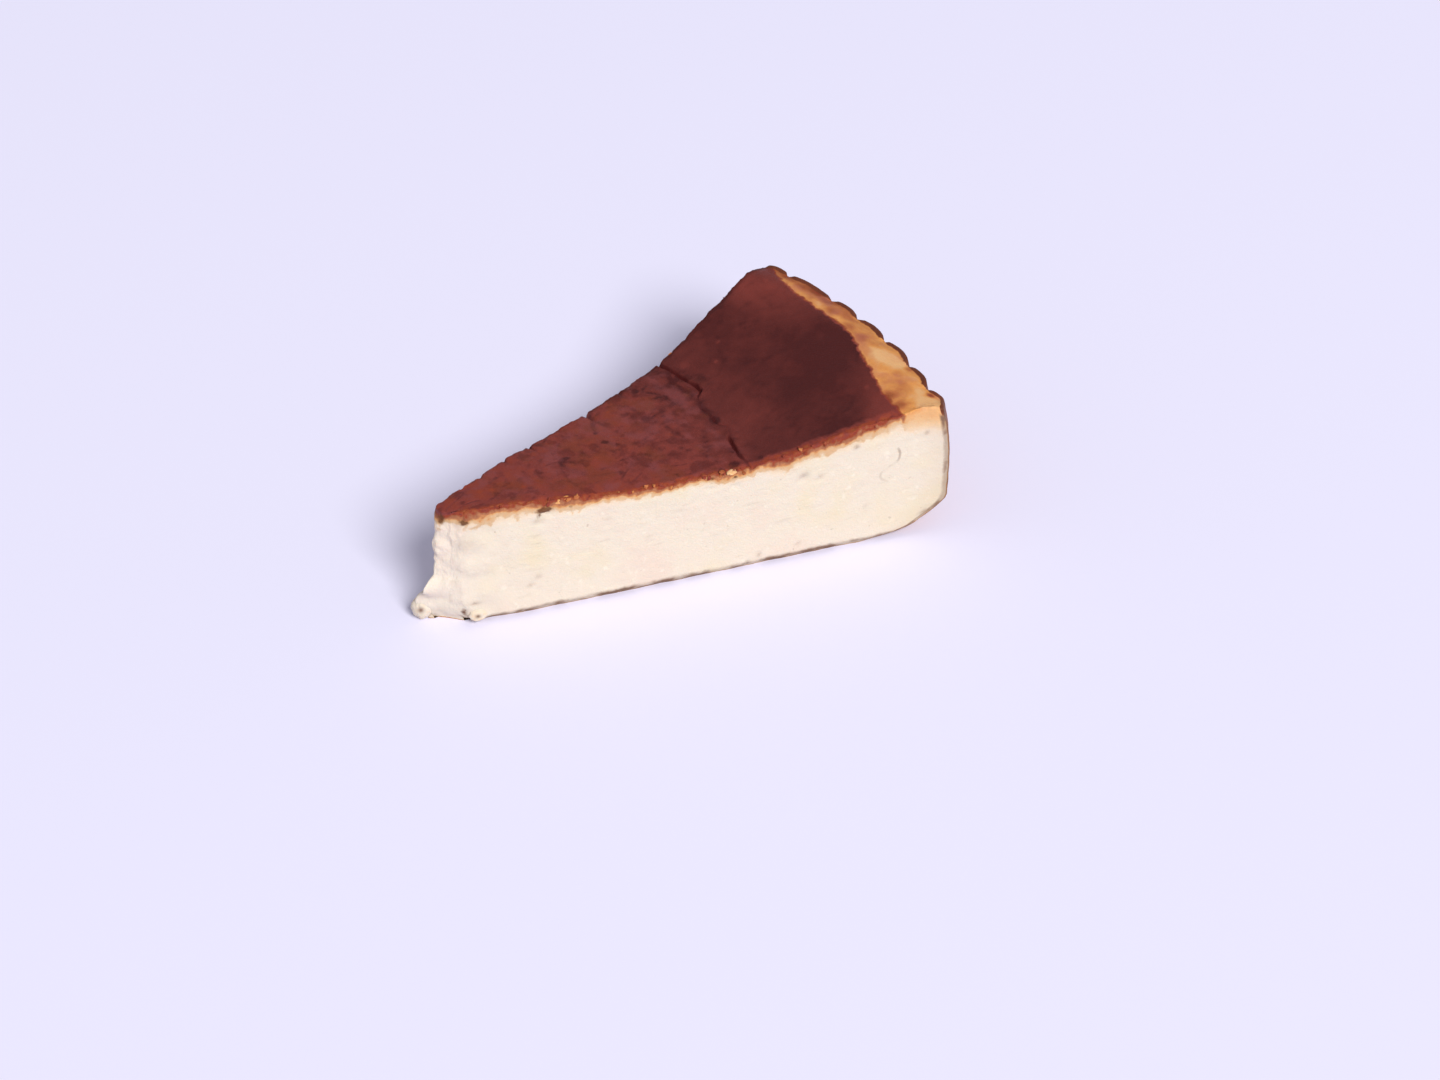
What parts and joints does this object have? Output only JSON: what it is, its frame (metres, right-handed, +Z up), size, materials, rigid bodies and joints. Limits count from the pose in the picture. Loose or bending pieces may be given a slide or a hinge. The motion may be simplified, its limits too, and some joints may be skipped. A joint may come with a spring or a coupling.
{
  "type": "basque cheesecake slice",
  "caption": "Cut slice of burnt basque cheesecake with a dark crust, a pale cream cut face, a crack across the top and a pleated outer wall, resting on its base.",
  "frame": {"origin": "centre of the slice's bounding box, at the base it rests on", "axes": "+X from the pointed nose to the outer wall, +Y towards the far cut, +Z up from the base to the crust"},
  "size_m": [0.1261, 0.069, 0.0377],
  "materials": {
    "cheesecake": "matte"
  },
  "bodies": {
    "root": {"cheesecake_slice": "cheesecake"}
  },
  "joints": []
}
